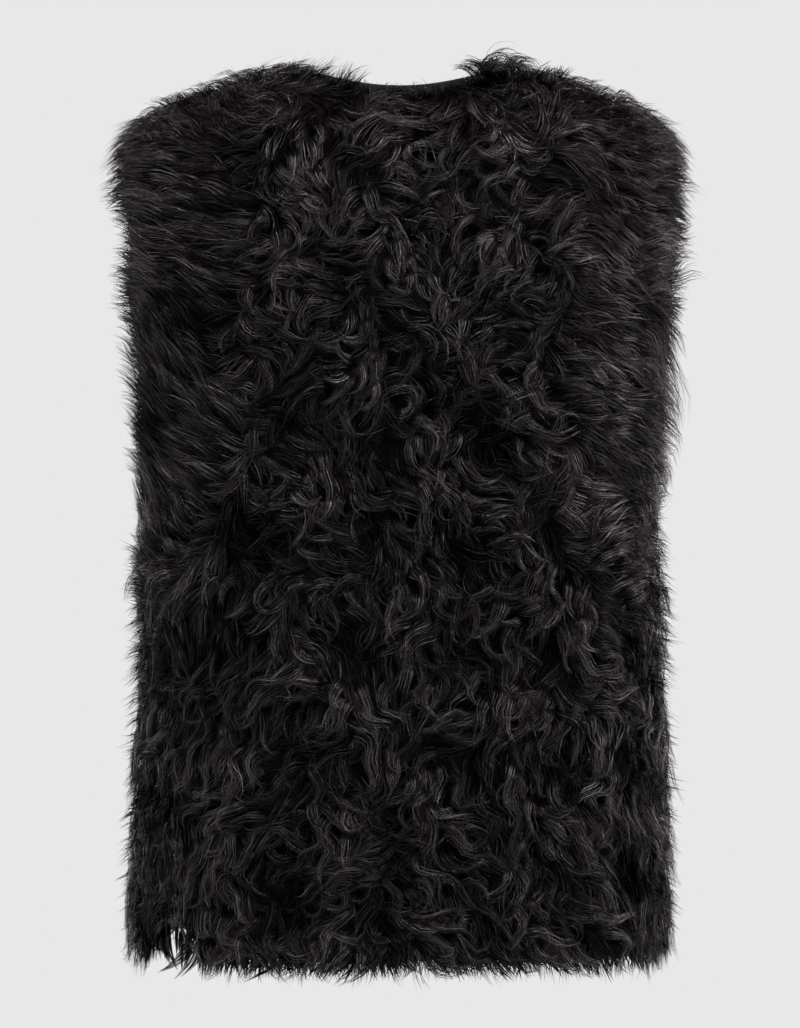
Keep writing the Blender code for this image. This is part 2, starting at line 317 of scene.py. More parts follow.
def closed_piece(name, points, faces, materials, used):
    """A closed shell from points and faces, with its normals outward."""
    mesh = bpy.data.meshes.new(name)
    mesh.from_pydata(points.reshape(-1, 3).tolist(), [], faces)
    for material in materials:
        mesh.materials.append(material)
    mesh.polygons.foreach_set("material_index", used)
    shell = bmesh.new()
    shell.from_mesh(mesh)
    bmesh.ops.recalc_face_normals(shell, faces=shell.faces)
    shell.to_mesh(mesh)
    shell.free()
    mesh.shade_smooth()
    piece = linked(name, mesh)
    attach(piece, "root")
    return piece


# The small arch in the back's hem at the wearer's left corner
CORNER_RISE = 0.021
ARCH_INNER_SIDE = (0.146, 0.174)
ARCH_OUTER_SIDE = (0.1850, 0.1785)
ARCH_FADE = 0.06


def corner_notch(x):
    """Where the back's hem rises at the wearer's left corner, from 0 to 1."""
    return ease(*ARCH_INNER_SIDE, x) * ease(*ARCH_OUTER_SIDE, x)


def skin_shell(panel):
    """A panel's skin: a thin closed shell on the solid's inner face."""
    c, h = panel.grid(*SKIN_GRID)
    points = panel.points(c, h)
    coat = panel.coat(points, c)
    if panel is back:
        rise = CORNER_RISE * corner_notch(points[..., 0]) * ease(HEM_Z + ARCH_FADE, HEM_Z, h)
        points = panel.points(c, h + rise)
    inner = points.copy()
    outer = points + panel.outward(points) * coat[..., None]
    for layer in (inner, outer):
        layer[..., 1] = panel.facing * np.maximum(panel.facing * layer[..., 1], 0.0)
        if panel is not back:
            side = 1.0 if panel.high_c > 0 else -1.0
            layer[..., 0] = side * np.maximum(side * layer[..., 0], 0.0)
    rows, columns = points.shape[:2]
    count = rows * columns
    number = np.arange(count).reshape(rows, columns)
    quads = np.stack([number[:-1, :-1], number[:-1, 1:], number[1:, 1:], number[1:, :-1]], axis=-1)
    quads = quads.reshape(-1, 4)
    border = np.concatenate([number[0, :], number[1:, -1], number[-1, -2::-1], number[-2:0:-1, 0]])
    ring = np.stack([border, np.roll(border, -1), np.roll(border, -1) + count, border + count], axis=-1)
    faces = np.concatenate([quads, quads[:, ::-1] + count, ring]).tolist()
    # The outer face takes the near-black roots material, which carries painted shade for the gaps between
    # locks
    used = [0] * len(quads) + [1] * len(quads) + [0] * len(ring)
    layers = np.concatenate([inner.reshape(-1, 3), outer.reshape(-1, 3)])
    piece = closed_piece(panel.name + "_skin", layers, faces, (skin_suede, wool_roots_and_painted_shade), used)
    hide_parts(panel.name)
    return piece


# The binding round the neck
BINDING_STATIONS = 60
BINDING_SMOOTHING = 3
BINDING_EDGE_POINTS = 9
BINDING_CROWN = 0.0004
BINDING_HOLLOW = 0.0002
ABOVE_NECK = np.array((0.0, 0.0, 0.06))


def neck_stations(count):
    """Points along the neckline from the middle of the front, all the way round, and the way outward."""
    rounds = ((front_left, 0.0, NECK_PART), (back, NECK_PART, -NECK_PART), (front_right, -NECK_PART, 0.0))
    level = np.full(count, SHOULDER_TIP_Z)
    lines = [panel.points(np.linspace(start, end, count), level) for panel, start, end in rounds]
    ways = [panel.outward(line) for (panel, _, _), line in zip(rounds, lines)]
    points = np.concatenate([lines[0], lines[1][1:-1], lines[2]])
    out = np.concatenate([ways[0], ways[1][1:-1], ways[2]])
    out[[count - 1, -count], 1] = 0.0
    out[[0, -1], 0] = 0.0
    return points, unit(out)


def binding():
    points, out = neck_stations(BINDING_STATIONS)
    for _ in range(BINDING_SMOOTHING):
        out[1:-1] = unit(out[:-2] + 2 * out[1:-1] + out[2:])
    points[0, 0] = SEAM_GAP / 2
    points[-1, 0] = -SEAM_GAP / 2
    along = np.gradient(points, axis=0)
    along[[0, -1], 1:] = 0.0
    up = unit(np.cross(along, out))
    up *= np.sign(np.sum(up * (ABOVE_NECK - points), axis=1))[:, None]
    low, high = SEAM_GAP, SEAM_GAP + BINDING_WIDTH
    middle = (low + high) / 2
    half = BINDING_THICKNESS / 2
    profile = [(low, 0.0), (middle, -BINDING_HOLLOW)]
    for turn in np.linspace(-math.pi / 2, math.pi / 2, BINDING_EDGE_POINTS):
        profile.append((high - half + half * math.cos(turn), half + half * math.sin(turn)))
    profile += [(middle, BINDING_THICKNESS + BINDING_CROWN), (low, BINDING_THICKNESS - BINDING_CROWN)]
    rings = np.stack([points + a * up + b * out for a, b in profile], axis=1)
    stations, around = rings.shape[:2]
    number = np.arange(stations * around).reshape(stations, around)
    following = np.roll(number, -1, axis=1)
    quads = np.stack([number[:-1], following[:-1], following[1:], number[1:]], axis=-1)
    faces = quads.reshape(-1, 4).tolist() + [number[0, ::-1].tolist(), number[-1].tolist()]
    piece = closed_piece("neck_binding_band", rings, faces, (binding_suede,), [0] * len(faces))
    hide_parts("neck_binding")
    return piece


skins = {panel.name: skin_shell(panel) for panel in panels}
band = binding()


class Cloth:
    """A close set of points over all the skins, to find the cloth under any lock."""

    def __init__(self):
        points, outs, coats = [], [], []
        for panel in panels:
            c, h = panel.grid(*SEARCH_GRID)
            grid = panel.points(c, h)
            points.append(grid.reshape(-1, 3))
            outs.append(panel.outward(grid).reshape(-1, 3))
            coats.append(panel.coat(grid, c).ravel())
        self.points = np.concatenate(points)
        self.coat = np.concatenate(coats)
        out = np.concatenate(outs)
        out[np.abs(self.points[:, 1]) < 1e-6, 1] = 0.0
        self.out = unit(out)
        self.tree = KDTree(len(self.points))
        for i, point in enumerate(self.points):
            self.tree.insert(point, i)
        self.tree.balance()

    def under(self, places):
        """The cloth next to each place: the way outward, the height above it, how far past its edge."""
        index = np.array([self.tree.find(place)[1] for place in places])
        out = self.out[index]
        above = places - self.points[index]
        height = np.sum(above * out, axis=1)
        past = np.linalg.norm(above - out * height[:, None], axis=1)
        return out, height, past, index


cloth = Cloth()


class Swirl:
    """Smooth random values over the cloth, about one in size."""

    Y_SHARE = 0.7

    def __init__(self, count, shortest, longest):
        turn = rng.uniform(0, 2 * math.pi, count)
        wave = 2 * math.pi / rng.uniform(shortest, longest, count)
        self.kx = wave * np.cos(turn)
        self.kz = wave * np.sin(turn)
        self.phase = rng.uniform(0, 2 * math.pi, count)
        self.gain = math.sqrt(2.0 / count)

    def __call__(self, points):
        a = points[:, :1] * self.kx + points[:, 2:] * self.kz + points[:, 1:2] * self.kx * self.Y_SHARE
        return self.gain * np.sin(a + self.phase).sum(axis=1)


# Places for locks: how far they leave an even pattern, and grid steps inward that give the way past an edge
SPOT_JITTER = 0.45
EDGE_JITTER = 0.3
PAST_JITTER = 0.003
LEVEL_Z = -0.45
HEM_STEPS = 6
ARMHOLE_STEPS = 4
NECK_STEPS = 7
ABOVE_UNDERARM = 0.002


def run_of(line):
    return np.concatenate([[0.0], np.cumsum(np.linalg.norm(np.diff(line, axis=0), axis=1))])


def along_line(at, run, values):
    return np.stack([np.interp(at, run, values[:, k]) for k in range(3)], axis=1)


def spots(panel, spacing):
    """Places all over a panel, in loosely even columns."""
    c, h = panel.grid(*PLACE_GRID)
    across, heights = c[0], h[:, 0]
    run = run_of(panel.points(across, np.full(len(across), LEVEL_Z)))
    found = []
    columns = int(run[-1] / spacing)
    for k in range(columns):
        at = (k + 0.5) / columns * run[-1]
        up = run_of(panel.points(np.full(len(heights), np.interp(at, run, across)), heights))
        count = int(up[-1] / spacing)
        level = np.arange(count) + rng.uniform(0.0, 1.0) + rng.uniform(-SPOT_JITTER, SPOT_JITTER, count)
        row_h = np.interp(np.clip(level / count, 0.0, 1.0) * up[-1], up, heights)
        row_c = np.interp(at + rng.uniform(-SPOT_JITTER, SPOT_JITTER, count) * spacing, run, across)
        found.append(panel.points(row_c, row_h))
    return np.concatenate(found)


def cut_edges(panel, which):
    """A panel's hem, armholes or neckline, each with a line a little further in."""
    c, h = panel.grid(*PLACE_GRID)
    points = panel.points(c, h)
    if which == "hem":
        return [(points[0], points[HEM_STEPS])]
    if which == "neck":
        neck = np.abs(c[0]) < NECK_PART
        return [(points[-1, neck], points[-1 - NECK_STEPS, neck])]
    arm = h[:, 0] > UNDERARM_Z + ABOVE_UNDERARM
    sides = ((0, ARMHOLE_STEPS), (-1, -1 - ARMHOLE_STEPS))
    return [(points[arm, a], points[arm, b]) for a, b in sides if abs(c[0, a]) == 1.0]


def edge_spots(panel, which, spacing, distances):
    """Places along a panel's cut edges, some way past them."""
    found = []
    for edge, inner in cut_edges(panel, which):
        away = unit(edge - inner)
        run = run_of(edge)
        for distance in distances:
            at = np.arange(0.0, run[-1], spacing) + rng.uniform(-EDGE_JITTER, EDGE_JITTER) * spacing
            past = distance + rng.uniform(-PAST_JITTER, PAST_JITTER, len(at))
            found.append(along_line(at, run, edge) + along_line(at, run, away) * past[:, None])
    return np.concatenate(found)


# Centre lines of locks. Along a lock, s runs from 0 at the root to 1 at the tip.
FINE = 21
ROOT_BEHIND = 0.45
SECOND_AIM = 0.9
ON_CLOTH = 0.004
ROOT_IN_COAT = 0.7
EARLY_RISE, LATE_RISE = 0.62, 0.38
EARLY_UNTIL = 0.40
SETTLE_FROM = 0.5
STEEPNESS = (-0.8, 0.93)
CURL_CENTRE = 0.50
FLICK_FROM = 0.55
OVER_EDGE = (0.003, 0.012)
HEIGHT_PULL = 0.8
EDGE_DROOP = 0.35
FOLLOW_CLOTH = 0.6
EDGE_SLACK = 0.002
SHORTEST_CUT = 0.25


def turned_by(angle, vectors, out):
    return np.cos(angle)[:, None] * vectors + np.sin(angle)[:, None] * np.cross(out, vectors)


def grow(middle, heading, shape):
    """Centre lines of locks, traced twice so that each one's middle comes to lie at its place."""
    start = middle - heading * (ROOT_BEHIND * shape.length)[:, None]
    path, normal, _ = trace(start, heading, shape)
    away = across_of(middle - path[:, FINE // 2], normal[:, FINE // 2])
    return trace(path[:, 0] + SECOND_AIM * away, heading, shape)


def trace(place, heading, shape):
    """Each lock rises from the cloth, lies over it, and bends as it goes."""
    length, lift = shape.length, shape.lift
    out, height, past, index = cloth.under(place)
    place = np.where((past < ON_CLOTH)[:, None], place - out * height[:, None], cloth.points[index])
    root = cloth.coat[index] * ROOT_IN_COAT
    place = place + out * root[:, None]
    reference = unit(across_of(heading, out))
    path, normal, beyond = [place], [out], [np.zeros(len(place))]
    step = length / (FINE - 1)
    before = root
    for k in range(1, FINE):
        s = k / (FINE - 1)
        rising = EARLY_RISE * ease(0.0, EARLY_UNTIL, s) + LATE_RISE * s
        rising = rising + shape.settle * ease(SETTLE_FROM, 1.0, s)
        wanted = root + lift * rising
        rise = np.clip((wanted - before) / step, *STEEPNESS)
        before = wanted
        angle = shape.sway * np.sin(2 * math.pi * s * length / shape.wave + shape.phase)
        angle = angle + shape.curl * (s - CURL_CENTRE) + shape.flick * ease(FLICK_FROM, 1.0, s)
        tangent = turned_by(angle, reference, out)
        place = place + step[:, None] * (tangent * np.sqrt(1.0 - rise**2)[:, None] + out * rise[:, None])
        out_now, height, past, index = cloth.under(place)
        over = ease(*OVER_EDGE, past)
        place = place + out_now * ((wanted - height) * (1.0 - over) * HEIGHT_PULL)[:, None]
        place[:, 2] -= step * EDGE_DROOP * over
        out = unit(out + FOLLOW_CLOTH * out_now * (1.0 - over)[:, None])
        reference = unit(across_of(reference, out))
        path.append(place)
        normal.append(out)
        beyond.append(past - EDGE_SLACK)
    kept = np.cumprod(np.stack(beyond, axis=1) <= shape.limit[:, None], axis=1).sum(axis=1)
    cut = np.clip((kept - 1) / (FINE - 1), SHORTEST_CUT, 1.0)
    return np.stack(path, axis=1), np.stack(normal, axis=1), cut


# A lock's counts of strands, their pieces and wisps, its sizes in metres, and the share of loose strands
Style = namedtuple("Style", "strands pieces wisps width stray crown loose")
CURLY = Style(15, 6, 3, 0.00057, 0.0012, 0.0035, 0.09)
COMBED = Style(13, 4, 6, 0.00057, 0.0016, 0.0025, 0.05)
UNDER = Style(6, 2, 3, 0.0022, 0.0020, 0.0010, 0.0)
FUZZ = Style(7, 2, 7, 0.00055, 0.0030, 0.0010, 0.0)
BENT = Style(15, 9, 3, 0.00062, 0.0012, 0.0020, 0.1)
HANGING = Style(18, 9, 2, 0.00085, 0.0006, 0.0016, 0.06)
WISP = Style(10, 6, 7, 0.00040, 0.0026, 0.0012, 0.1)

# Strands in a lock: how they spread, merge into wisps, taper, and take colour, lustre and painted shade
SIDE_JITTER = 0.8
TIP_JITTER = 0.22
WISP_REACH = (0.74, 1.0)
STRAND_REACH = (0.86, 1.0)
SHORTEST_REACH = 0.2
ROOT_STAGGER = (0.0, 0.08)
LOOSE_STRAY = 4.0
ROOT_BREADTH, ADDED_BREADTH = 0.5, 0.5
BROAD_FROM = 0.35
MERGING = (0.22, 0.95)
MERGING_CUT = 0.4
RIPPLE, RIPPLE_RATE = 0.4, 5.0
CROWN_JITTER = 0.3
CROWN_LOST = 0.6
STRAY_LIFT = 0.6
ROLL_ACROSS, ROLL_JITTER = 0.5, 0.38
TIP_POWER, TIP_WIDTH = 2.4, 0.05
ROOT_WIDTH, ROOT_WIDENING = 0.55, 3.0
WIDTH_RANGE = (0.55, 1.45)
ROUND_LOOK = 0.75
# Painted shade: strands at a lock's sides and near its roots get darker colour and lustre
SIDE_PAINTED_LIGHT, MIDDLE_PAINTED_LIGHT = 0.34, 0.66
ROOT_PAINTED_LIGHT, TIP_PAINTED_LIGHT = 0.10, 0.90
PAINTED_LIGHT_GROWS = (0.12, 0.70)
TONE_RANGE = (0.5, 1.5)
LEAST_SHINE, ADDED_SHINE = 0.12, 0.88
COOL = np.array((0.0034, 0.0028, 0.0032))
BROWN = np.array((0.0056, 0.0038, 0.0028))


def strands(path, normal, cut, shape, style):
    """Ribbons for every lock's strands, which part into wisps at the tip."""
    locks, per_lock, wisps = len(path), style.strands, style.wisps
    count = locks * per_lock
    lock = np.repeat(np.arange(locks), per_lock)
    order = np.tile(np.arange(per_lock), locks)
    side = (2 * order + 1) / per_lock - 1.0 + rng.uniform(-SIDE_JITTER, SIDE_JITTER, count) / per_lock
    wisp = (order * wisps) // per_lock
    tips = (2 * np.arange(wisps) + 1) / wisps - 1.0
    tips = tips * shape.tip[:, None] + rng.normal(0.0, TIP_JITTER, (locks, wisps))
    ends = rng.uniform(*WISP_REACH, (locks, wisps))
    loose = np.where(rng.uniform(0.0, 1.0, count) < style.loose, LOOSE_STRAY, 1.0)
    wisp_end = ends[lock, wisp] * rng.uniform(*STRAND_REACH, count)
    cut_end = cut[lock] * rng.uniform(*STRAND_REACH, count)
    reach = np.maximum(np.minimum(wisp_end, cut_end), SHORTEST_REACH)
    begin = rng.uniform(*ROOT_STAGGER, count)
    along = np.linspace(0.0, 1.0, style.pieces + 1)
    s = begin[:, None] + (reach - begin)[:, None] * along
    at = s * (FINE - 1)
    low = np.minimum(at.astype(int), FINE - 2)
    part = (at - low)[..., None]
    rows = lock[:, None]
    centre = path[rows, low] * (1 - part) + path[rows, low + 1] * part
    out = unit(normal[rows, low] * (1 - part) + normal[rows, low + 1] * part)
    ahead = unit(np.gradient(centre, axis=1))
    across = unit(np.cross(out, ahead))
    broad = ROOT_BREADTH + ADDED_BREADTH * ease(0.0, BROAD_FROM, s)
    merge = ease(*MERGING, s / np.maximum(cut[lock], MERGING_CUT)[:, None])
    own = rng.normal(0.0, 1.0, (count, 3))
    drift = own[:, :1] * s**2 + RIPPLE * own[:, 1:2] * np.sin(RIPPLE_RATE * s + own[:, 2:3])
    aside = side[:, None] * broad * (1 - merge) + tips[lock, wisp][:, None] * merge
    aside = aside * shape.half_width[lock][:, None] + style.stray * loose[:, None] * drift
    crown = 1.0 - side**2 + rng.uniform(-CROWN_JITTER, CROWN_JITTER, count)
    crown = crown[:, None] * broad * (1 - CROWN_LOST * merge)
    lifted = style.crown * crown + style.stray * STRAY_LIFT * loose[:, None] * np.abs(own[:, 1:2]) * s
    centre = centre + across * aside[..., None] + out * lifted[..., None]
    ahead = unit(np.gradient(centre, axis=1))
    roll = (ROLL_ACROSS * side + rng.normal(0.0, ROLL_JITTER, count))[:, None, None]
    facing = unit(across_of(np.cos(roll) * out + np.sin(roll) * across, ahead))
    flat = np.cross(ahead, facing)
    thin = np.clip(1.0 - along**TIP_POWER, TIP_WIDTH, 1.0)
    thin = thin * np.clip(ROOT_WIDTH + ROOT_WIDENING * along, 0.0, 1.0)
    half = 0.5 * style.width * rng.uniform(*WIDTH_RANGE, count) / np.sqrt(loose)
    half = (half[:, None] * thin)[..., None]
    points = np.stack([centre + flat * half, centre - flat * half], axis=2)
    normals = unit(np.stack([facing + ROUND_LOOK * flat, facing - ROUND_LOOK * flat], axis=2))
    # Painted shade: colour and lustre darken towards each lock's sides and roots, where the wool shades
    # itself
    painted_root_and_side_shade = (SIDE_PAINTED_LIGHT + MIDDLE_PAINTED_LIGHT * (1.0 - side**2))[:, None]
    painted_root_and_side_shade = painted_root_and_side_shade * (ROOT_PAINTED_LIGHT + TIP_PAINTED_LIGHT * ease(*PAINTED_LIGHT_GROWS, s))
    value = shape.tone[lock] * rng.uniform(*TONE_RANGE, count)
    colour = COOL + (BROWN - COOL) * shape.warm[lock][:, None]
    tone = colour[:, None, :] * (value[:, None] * painted_root_and_side_shade)[..., None]
    shine = shape.shine[lock] * (LEAST_SHINE + ADDED_SHINE * rng.uniform(0.0, 1.0, count) ** 2)
    lustre = shine[:, None] * painted_root_and_side_shade
    return {
        "points": points,
        "normals": normals,
        "tone": np.repeat(tone[:, :, None, :], 2, axis=2),
        "lustre": np.repeat(lustre[:, :, None], 2, axis=2),
        "root_z": path[lock, 0, 2],
    }


def joined(groups, key, width):
    return np.concatenate([group[key].reshape(-1, width) for group in groups]).astype(np.float32)


def ribbon_piece(name, groups):
    """One joined mesh of all the ribbons in some groups of strands."""
    faces = []
    base = 0
    for group in groups:
        count, rows = group["points"].shape[:2]
        number = base + np.arange(count * rows * 2).reshape(count, rows, 2)
        quads = [number[:, :-1, 0], number[:, 1:, 0], number[:, 1:, 1], number[:, :-1, 1]]
        faces.append(np.stack(quads, axis=-1).reshape(-1, 4))
        base += count * rows * 2
    faces = np.concatenate(faces).astype(np.int32)
    points = joined(groups, "points", 3)
    opaque = np.ones((len(points), 1), np.float32)
    tones = np.concatenate([joined(groups, "tone", 3), opaque], axis=1)
    mesh = bpy.data.meshes.new(name)
    mesh.vertices.add(len(points))
    mesh.vertices.foreach_set("co", points.ravel())
    mesh.loops.add(faces.size)
    mesh.loops.foreach_set("vertex_index", faces.ravel())
    mesh.polygons.add(len(faces))
    mesh.polygons.foreach_set("loop_start", np.arange(0, faces.size, 4, dtype=np.int32))
    mesh.update(calc_edges=True)
    mesh.shade_smooth()
    tone = mesh.attributes.new("tone", "FLOAT_COLOR", "POINT")
    tone.data.foreach_set("color", tones.ravel())
    lustre = mesh.attributes.new("lustre", "FLOAT", "POINT")
    lustre.data.foreach_set("value", joined(groups, "lustre", 1).ravel())
    mesh.normals_split_custom_set_from_vertices(joined(groups, "normals", 3))
    mesh.materials.append(wool)
    piece = linked(name, mesh)
    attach(piece, "root")
    return piece


# Where the wool changes: start and end of each change, across, in height, or by how the cloth faces
BESIDE_MIDDLE = (0.075, 0.160)
COMBED_HEIGHT = (-0.47, -0.30)
FACING_UP = (0.25, 0.95)
CORNER_FACING = (0.62, 0.92)
CORNER_ACROSS = (0.120, 0.095)
LOWER_PART = (-0.36, -0.50)
NEAR_HEM = (-0.59, -0.64)
STRAIGHT_SIDE = (0.02, 0.12)
PLUSH_SIDE = (0.00, -0.12)
FACING_SIDEWAYS = (0.55, 0.85)
OUTLINE_SIDEWAYS, OUTLINE_UP = 0.70, 0.55
FAR_FROM_NECK = 1.0
OUTLINE_ABOVE_UNDERARM = 0.02

# How the wool flows outwards and upwards. Pairs are for the wearer's left and right.
BESIDE_OUT = 0.30
COMBED_OUT = 1.7
ATOP_OUT = 0.3
TUFT_IN = 1.6
COMBED_UP = (2.2, 0.75)
ATOP_UP = (0.6, 1.0)


def flow_at(middle, out):
    """Which way the wool lies: out to the armholes at the sides, down elsewhere, and over the shoulders."""
    x, z = middle[:, 0], middle[:, 2]
    beside = ease(*BESIDE_MIDDLE, np.abs(x))
    atop = ease(*FACING_UP, out[:, 2])
    corner = ease(*CORNER_FACING, out[:, 2]) * ease(*CORNER_ACROSS, np.abs(x))
    tuft = corner * (x > 0)
    combed = beside * ease(*COMBED_HEIGHT, z)
    outwards = np.sign(x) * (BESIDE_OUT * (beside - combed) + COMBED_OUT * combed + ATOP_OUT * atop)
    outwards = outwards - TUFT_IN * tuft * np.sign(x)
    upwards = -1.0 + np.where(x > 0, *COMBED_UP) * combed + np.where(x > 0, *ATOP_UP) * atop
    flow = np.stack([outwards, np.zeros(len(x)), upwards], axis=1)
    combed = np.maximum(combed, atop) * np.where(x > 0, 1.0, 1.0 - corner)
    return unit(across_of(flow, out)), combed, atop, tuft


def on_outline(middle, out):
    """Whether a place is on the sides or the shoulders, where the wool stands against the light."""
    sideways = np.abs(out[:, 0]) > OUTLINE_SIDEWAYS
    below_arm = middle[:, 2] < UNDERARM_Z + OUTLINE_ABOVE_UNDERARM
    return sideways & below_arm | (out[:, 2] > OUTLINE_UP)


class Zones:
    """What the wool is like at each place, mostly as shares from 0 to 1."""

    def __init__(self, panel, middle):
        self.middle = middle
        self.count = len(middle)
        self.x, self.z = middle[:, 0], middle[:, 2]
        self.out = cloth.under(middle)[0]
        self.flow, self.combed, self.atop, self.tuft = flow_at(middle, self.out)
        self.outline = on_outline(middle, self.out)
        seen_across = self.x * panel.facing
        self.lower = ease(*LOWER_PART, self.z)
        self.hem = ease(*NEAR_HEM, self.z)
        self.straight = self.lower * ease(*STRAIGHT_SIDE, seen_across)
        self.plush = self.lower * ease(*PLUSH_SIDE, seen_across)
        self.below_neck = np.where(np.abs(self.x) < NECK_HALF, panel.top(self.x) - self.z, FAR_FROM_NECK)
        sideways = ease(*FACING_SIDEWAYS, np.abs(self.out[:, 0]))
        below_arm = ease(UNDERARM_Z + UNDERARM_BLEND, UNDERARM_Z - UNDERARM_BLEND, self.z)
        self.turned = sideways * below_arm
        self.banded = self.combed * (self.x < 0)

    def draw(self, span):
        return rng.uniform(*span, self.count)

    def jitter(self, spread):
        return rng.normal(0.0, spread, self.count)

    def blend(self, weights):
        """A base, or 1, changed by each named share times its weight."""
        total = weights.get("base", 1.0)
        for name, weight in weights.items():
            if name != "base":
                total = total + weight * vars(self)[name]
        return total


# Spacings of places and rows past the cut edges, in metres, and how many pieces a panel's wool makes
BACK_SPACING = 0.0107
FRONT_SPACING = 0.0180
BACK_PIECES, FRONT_PIECES = 4, 1
COMBED_CLOSER = 0.88
SIDE_WIDER = 1.2
SIDE_FACING = 0.75
COMBED_CHANCE = 1.15
BACK_HEM_ROWS = (0.004, 0.010, 0.016)
FRONT_HEM_ROWS = (0.005, 0.014)
ARMHOLE_ROWS = (0.005, 0.014)
COMBED_ARMHOLE_ROWS = (0.023,)
UNDER_SPACING = 0.0135
UNDER_CLOSER = 0.0100
UNDER_EDGES = (
    # edge, spacing along it, how far past it each row is
    ("hem", 0.0050, (0.001, 0.008, 0.014)),
    ("armhole", 0.0050, (0.003, 0.012, 0.021)),
)
FUZZ_BACK_SPACING = 0.0085
FUZZ_FRONT_SPACING = 0.0100
FUZZ_EDGES = (
    ("hem", 0.0050, (0.006, 0.012, 0.018)),
    ("armhole", 0.0060, (0.008, 0.018)),
    ("neck", 0.0040, (-0.002, 0.002)),
)
FUZZ_FREE_HALF = 0.115


def under_places(panel):
    """Places for the broad layer underneath, closer together along the edges and the outline."""
    edges = [edge_spots(panel, *edge) for edge in UNDER_EDGES]
    more = spots(panel, UNDER_CLOSER)
    outline = on_outline(more, cloth.under(more)[0])
    return np.concatenate([spots(panel, UNDER_SPACING), *edges, more[outline]])


def fuzz_places(panel):
    """Places for fine fuzz along the outline and the edges, but not at the neck's right corner."""
    middle = spots(panel, FUZZ_BACK_SPACING if panel is back else FUZZ_FRONT_SPACING)
    x = middle[:, 0]
    aside = on_outline(middle, cloth.under(middle)[0]) & ((x > 0) | (np.abs(x) > FUZZ_FREE_HALF))
    return np.concatenate([middle[aside]] + [edge_spots(panel, *edge) for edge in FUZZ_EDGES])


def places_for(style, panel, spacing):
    """Where the locks of one kind go on a panel. Curly and combed locks share it out between them."""
    if style is UNDER:
        return under_places(panel)
    if style is FUZZ:
        return fuzz_places(panel)
    gap = spacing if style is CURLY else spacing * COMBED_CLOSER
    hem = edge_spots(panel, "hem", gap, BACK_HEM_ROWS if panel is back else FRONT_HEM_ROWS)
    edges = [hem, edge_spots(panel, "armhole", gap, ARMHOLE_ROWS)]
    if style is COMBED:
        edges.append(edge_spots(panel, "armhole", gap, COMBED_ARMHOLE_ROWS))
    middle = np.concatenate([spots(panel, gap)] + edges)
    combed = flow_at(middle, cloth.under(middle)[0])[1]
    chosen = (rng.uniform(0.0, 1.0, len(middle)) < combed * COMBED_CHANCE) == (style is COMBED)
    if style is COMBED:
        return middle[chosen]
    sides = spots(panel, gap * SIDE_WIDER)
    out = cloth.under(sides)[0]
    aside = (np.abs(out[:, 0]) > SIDE_FACING) & (sides[:, 2] < UNDERARM_Z)
    return np.concatenate([middle[chosen], sides[aside]])


# How far past a cut edge a lock may hang, in metres
HEM_BAND = 0.05
HEM_HANGS = (0.019, 0.028)
HEM_CORNER_HANGS = 0.004
HEM_CORNER = (0.08, 0.17)
NECK_BAND_HALF = NECK_HALF * 0.85
NECK_BAND_Z = -0.12
NECK_HANGS = (0.001, 0.006)
ARM_LEAST, ARM_MOST = 0.025, 0.043
ARM_LOWER_LESS = 0.008
ARM_LOWER = (-0.15, -0.30)
ARM_TIP_MORE = 0.005
ARM_TIP = (-0.12, -0.05)


def edge_limit(middle):
    count = len(middle)
    x, z = np.abs(middle[:, 0]), middle[:, 2]
    arm_most = ARM_MOST - ARM_LOWER_LESS * ease(*ARM_LOWER, z) + ARM_TIP_MORE * ease(*ARM_TIP, z)
    at_arm = rng.uniform(ARM_LEAST, arm_most, count)
    at_hem = rng.uniform(*HEM_HANGS, count) + HEM_CORNER_HANGS * ease(*HEM_CORNER, x)
    limit = np.where(z < HEM_Z + HEM_BAND, at_hem, at_arm)
    return np.where((x < NECK_BAND_HALF) & (z > NECK_BAND_Z), rng.uniform(*NECK_HANGS, count), limit)


# Patterns over the cloth: how many waves, and the shortest and longest of them in metres
TURN_PATTERN = (9, 0.070, 0.150)
WIDE_PATTERN = (6, 0.20, 0.36)
HAND_PATTERN = (9, 0.045, 0.100)
CLUMP_PATTERN = (9, 0.045, 0.095)

# How the zones change a lock's heading, in radians
TURNING = {"base": 1.15, "lower": -0.40, "straight": -0.35, "plush": -0.40}
TURNING_COMBED = {"combed": -0.72}
WIDE_TURNING = 0.3
WIDE_COMBED = {"combed": -0.5}
UNRULY_TURN = 0.32
UNRULY = {"combed": -0.5, "plush": -0.3, "hem": 0.6, "tuft": 1.5}
FUZZ_TURN = 0.6
FUZZ_UNRULY = {"hem": -0.55}
FUZZ_LEAN = -0.6
FUZZ_UPRIGHT_HALF = 0.028
AT_NECKLINE = 0.01

# A lock's hand, clump and colour; its colour and lustre also rise and fall with the clump's height as
# painted light and shade
HAND_JITTER = 0.5
HAND_FREE = {"plush": -0.6}
CLUMPING = {"base": 0.34, "lower": 0.14}
CLUMP_LIMITS = (0.3, 1.7)
LOCK_TONE = (0.6, 1.4)
LOCK_SHINE = (0.35, 1.15)
WARMTH, WARMTH_SPREAD = 0.2, 0.25
# Painted light: combed locks along the sides and shoulders are browner, for light shining through the wool
# at the outline
COMBED_WARMTH = 0.25

